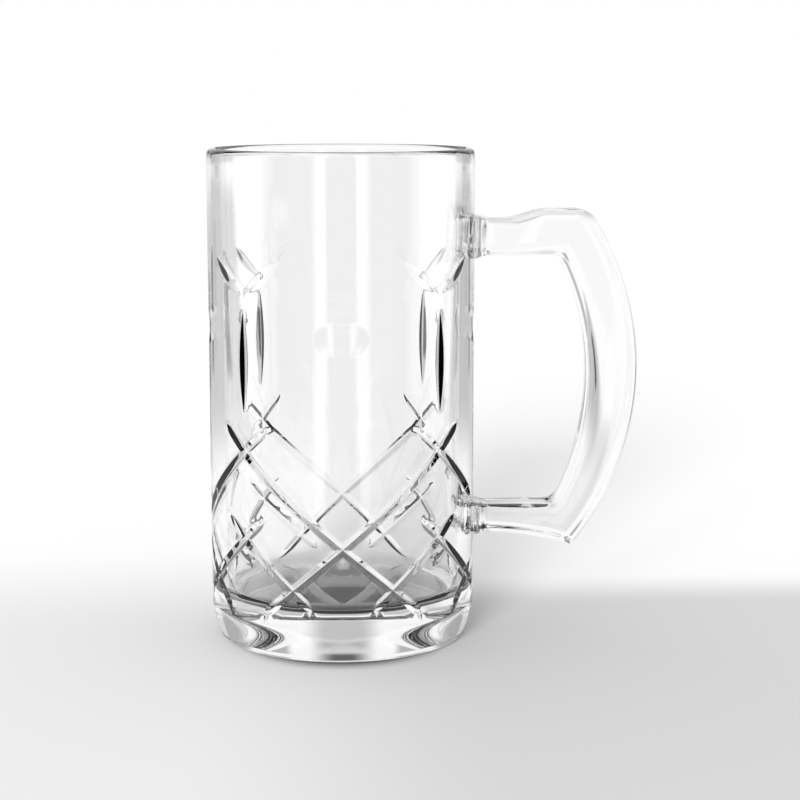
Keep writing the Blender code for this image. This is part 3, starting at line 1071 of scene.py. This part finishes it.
@dataclass(frozen=True)
class TableWithPaintedShade:
    """The pale table: white far off, with shade painted into its colour: greyer in front, lighter on the
    left than the right, and a nearly black painted contact shadow under the mug.
    """

    name: str = "studio_floor"
    white: float = 1.0
    # Painted shade near the mug: the grey tone on its left and the darker one on its right.
    left: float = 0.86
    right: float = 0.7
    # Nearly black painted contact shadow under the mug.
    under: float = 0.02
    # Spans over which the painted shade eases to white behind the mug, and from its left tone to its right
    # tone.
    left_shade_run: tuple[float, float] = (-5.0 * MM, 110.0 * MM)
    right_shade_run: tuple[float, float] = (25.0 * MM, 66.0 * MM)
    side_shade_run: tuple[float, float] = (-45.0 * MM, 45.0 * MM)
    far_run: tuple[float, float] = (250.0 * MM, 450.0 * MM)
    # Where the painted contact shadow fades out, round a centre set a little in front of the mug's axis.
    contact_shade_run: tuple[float, float] = (21.0 * MM, 33.0 * MM)
    contact_shade_middle: tuple[float, float, float] = (0.0, -11.0 * MM, 0.0)

    def run(
        self,
        tree: bpy.types.NodeTree,
        value: bpy.types.NodeSocket,
        span: tuple[float, float],
        ends: tuple[float | bpy.types.NodeSocket, float | bpy.types.NodeSocket],
    ) -> bpy.types.NodeSocket:
        """Add nodes that ease from one tone to another.

        Args:
            tree: Node tree of the table.
            value: Place across the table.
            span: Places where the change starts and ends.
            ends: Tone, or socket that gives it, before and after the change.

        Returns:
            Socket that gives the tone.
        """
        ramp = tree.nodes.new("ShaderNodeMapRange")
        ramp.interpolation_type = "SMOOTHSTEP"
        ramp.inputs["From Min"].default_value = span[0]
        ramp.inputs["From Max"].default_value = span[1]
        tree.links.new(value, ramp.inputs["Value"])
        mix = tree.nodes.new("ShaderNodeMix")
        tree.links.new(ramp.outputs["Result"], mix.inputs["Factor"])
        for end, name in zip(ends, ("A", "B")):
            if isinstance(end, float):
                mix.inputs[name].default_value = end
            else:
                tree.links.new(end, mix.inputs[name])
        return mix.outputs["Result"]

    def material(self) -> bpy.types.Material:
        """Make the material.

        Returns:
            A matt surface whose tone changes across the table to paint shade on it.
        """
        material = bpy.data.materials.new(self.name)
        material.use_nodes = True
        tree = material.node_tree
        shader = tree.nodes["Principled BSDF"]
        shader.inputs["Roughness"].default_value = 1.0
        shader.inputs["Specular IOR Level"].default_value = 0.0
        place_of = tree.nodes.new("ShaderNodeTexCoord")
        apart = tree.nodes.new("ShaderNodeSeparateXYZ")
        tree.links.new(place_of.outputs["Object"], apart.inputs[0])
        away = tree.nodes.new("ShaderNodeVectorMath")
        away.operation = "DISTANCE"
        away.inputs[1].default_value = self.contact_shade_middle
        tree.links.new(place_of.outputs["Object"], away.inputs[0])
        # Painted shade in front of the mug, on the left and on the right, easing to white behind it.
        left = self.run(tree, apart.outputs["Y"], self.left_shade_run, (self.left, self.white))
        right = self.run(tree, apart.outputs["Y"], self.right_shade_run, (self.right, self.white))
        # Painted shade, lighter on the left than on the right, following how the key's light falls.
        tone = self.run(tree, apart.outputs["X"], self.side_shade_run, (left, right))
        # Painted contact shadow, nearly black under the mug.
        tone = self.run(tree, away.outputs["Value"], self.contact_shade_run, (self.under, tone))
        # All the painted shade fades to white far from the mug.
        tone = self.run(tree, away.outputs["Value"], self.far_run, (tone, self.white))
        tree.links.new(tone, shader.inputs["Base Color"])
        return material


@dataclass
class Studio:
    """Floor, light and camera."""

    camera_distance: float = 571.9 * MM
    camera_height: float = 164.0 * MM
    camera_pitch: float = 0.1626
    camera_yaw: float = 0.0303
    lens: float = 87.28
    sensor: float = 36.0
    clip_start: float = 10.0 * MM
    card_radius: float = 1.2
    card_eye: float = 70.0 * MM
    card_rows: int = 33
    card_columns: int = 25
    floor_half: float = 6.0
    floor_drop: float = 0.3 * MM
    room_light: float = 0.76
    key_strength: float = 2.35
    key_bearing: float = math.radians(197.0)
    key_elevation: float = math.radians(20.5)
    key_angle: float = math.radians(20.0)

    def camera(self) -> None:
        """Put the camera where the photograph was taken from."""
        data = bpy.data.cameras.new("studio_camera")
        data.lens = self.lens
        data.sensor_width = self.sensor
        data.clip_start = self.clip_start
        obj = bpy.data.objects.new("studio_camera", data)
        obj.location = (0.0, -self.camera_distance, self.camera_height)
        obj.rotation_euler = (QUARTER - self.camera_pitch, 0.0, -self.camera_yaw)
        bpy.context.scene.collection.objects.link(obj)
        bpy.context.scene.camera = obj

    def world(self) -> None:
        """A room that looks white, and lights the table a little less than that."""
        world = bpy.data.worlds.new("studio_world")
        world.use_nodes = True
        bpy.context.scene.world = world
        nodes, links = world.node_tree.nodes, world.node_tree.links
        back = nodes["Background"]
        back.inputs["Color"].default_value = WHITE
        path = nodes.new("ShaderNodeLightPath")
        seen = path.outputs["Is Camera Ray"]
        for ray in ("Is Glossy Ray", "Is Transmission Ray"):
            seen = combine(world.node_tree, "MAXIMUM", seen, path.outputs[ray])
        level = nodes.new("ShaderNodeMapRange")
        level.inputs["To Min"].default_value = self.room_light
        links.new(seen, level.inputs["Value"])
        links.new(level.outputs["Result"], back.inputs["Strength"])

    def key(self) -> None:
        """A broad lamp in front on the left, whose soft shade falls behind the mug on the right."""
        data = bpy.data.lights.new("studio_key", "SUN")
        data.energy = self.key_strength
        data.angle = self.key_angle
        obj = bpy.data.objects.new("studio_key", data)
        out = math.cos(self.key_elevation)
        x, y = out * math.sin(self.key_bearing), out * math.cos(self.key_bearing)
        obj.location = (x, y, math.sin(self.key_elevation))
        obj.rotation_euler = (-Vector(obj.location)).to_track_quat("-Z", "Y").to_euler()
        obj.visible_glossy = False
        obj.visible_transmission = False
        bpy.context.scene.collection.objects.link(obj)

    def floor(self) -> None:
        """A plain pale table that runs out to white, with shade painted into its colour in front of the mug
        and a painted contact shadow under it.
        """
        bm = bmesh.new()
        bmesh.ops.create_grid(bm, x_segments=1, y_segments=1, size=self.floor_half)
        obj = to_object("studio_floor", bm)
        obj.location.z = -self.floor_drop
        obj.data.materials.append(TableWithPaintedShade().material())

    def card_point(
        self, side: float, bearing: float, elevation: float, lift: float
    ) -> tuple[float, float, float]:
        """Where a ray from the mug meets a card, which lies on the table below eye level.

        Args:
            side: 1 on the right, -1 on the left.
            bearing: Bearing of the ray from straight behind.
            elevation: Elevation of the ray.
            lift: Height of the card above the table.

        Returns:
            The point.
        """
        rise, turn = math.radians(elevation), math.radians(bearing)
        away = self.card_radius
        if rise < 0.0:
            away = min(away, (self.card_eye - lift) / math.sin(-rise))
        out = away * math.cos(rise)
        return side * out * math.sin(turn), out * math.cos(turn), self.card_eye + away * math.sin(rise)

    def card(self, card: Card) -> None:
        """Stand a card up on its bearing.

        Args:
            card: The card.
        """
        bm = bmesh.new()
        cover = bm.verts.layers.float.new("cover")
        for side in card.sides.value:
            rows = []
            for elevation in np.linspace(*card.elevation, self.card_rows):
                row = []
                for bearing in np.linspace(*card.bearing, self.card_columns):
                    vert = bm.verts.new(self.card_point(side, bearing, elevation, card.lift))
                    vert[cover] = card.cover(bearing, elevation)
                    row.append(vert)
                rows.append(row)
            for low, high in zip(rows[:-1], rows[1:]):
                for i in range(len(low) - 1):
                    bm.faces.new((low[i], low[i + 1], high[i + 1], high[i]))
        obj = to_object("card_" + card.name, bm)
        obj.data.materials.append(card.material())
        obj.visible_camera = False
        obj.visible_diffuse = False
        obj.visible_shadow = False

    def build(self) -> None:
        """Set the whole studio up."""
        self.floor()
        self.world()
        self.key()
        for card in CARDS:
            self.card(card)
        self.camera()


def main() -> None:
    """Build the mug and its studio."""
    logging.basicConfig(level=logging.INFO)
    low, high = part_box("tumbler")
    radius = (high[1] - low[1]) / 2.0
    tumbler = Tumbler(height=high[2], radius=radius)
    handle = Handle(wall_radius=radius, rim_height=high[2])
    for piece in (tumbler, handle):
        piece.dress(piece.build())
    Studio().build()
    bpy.context.scene.view_settings.view_transform = "Standard"


if __name__ == "__main__":
    main()
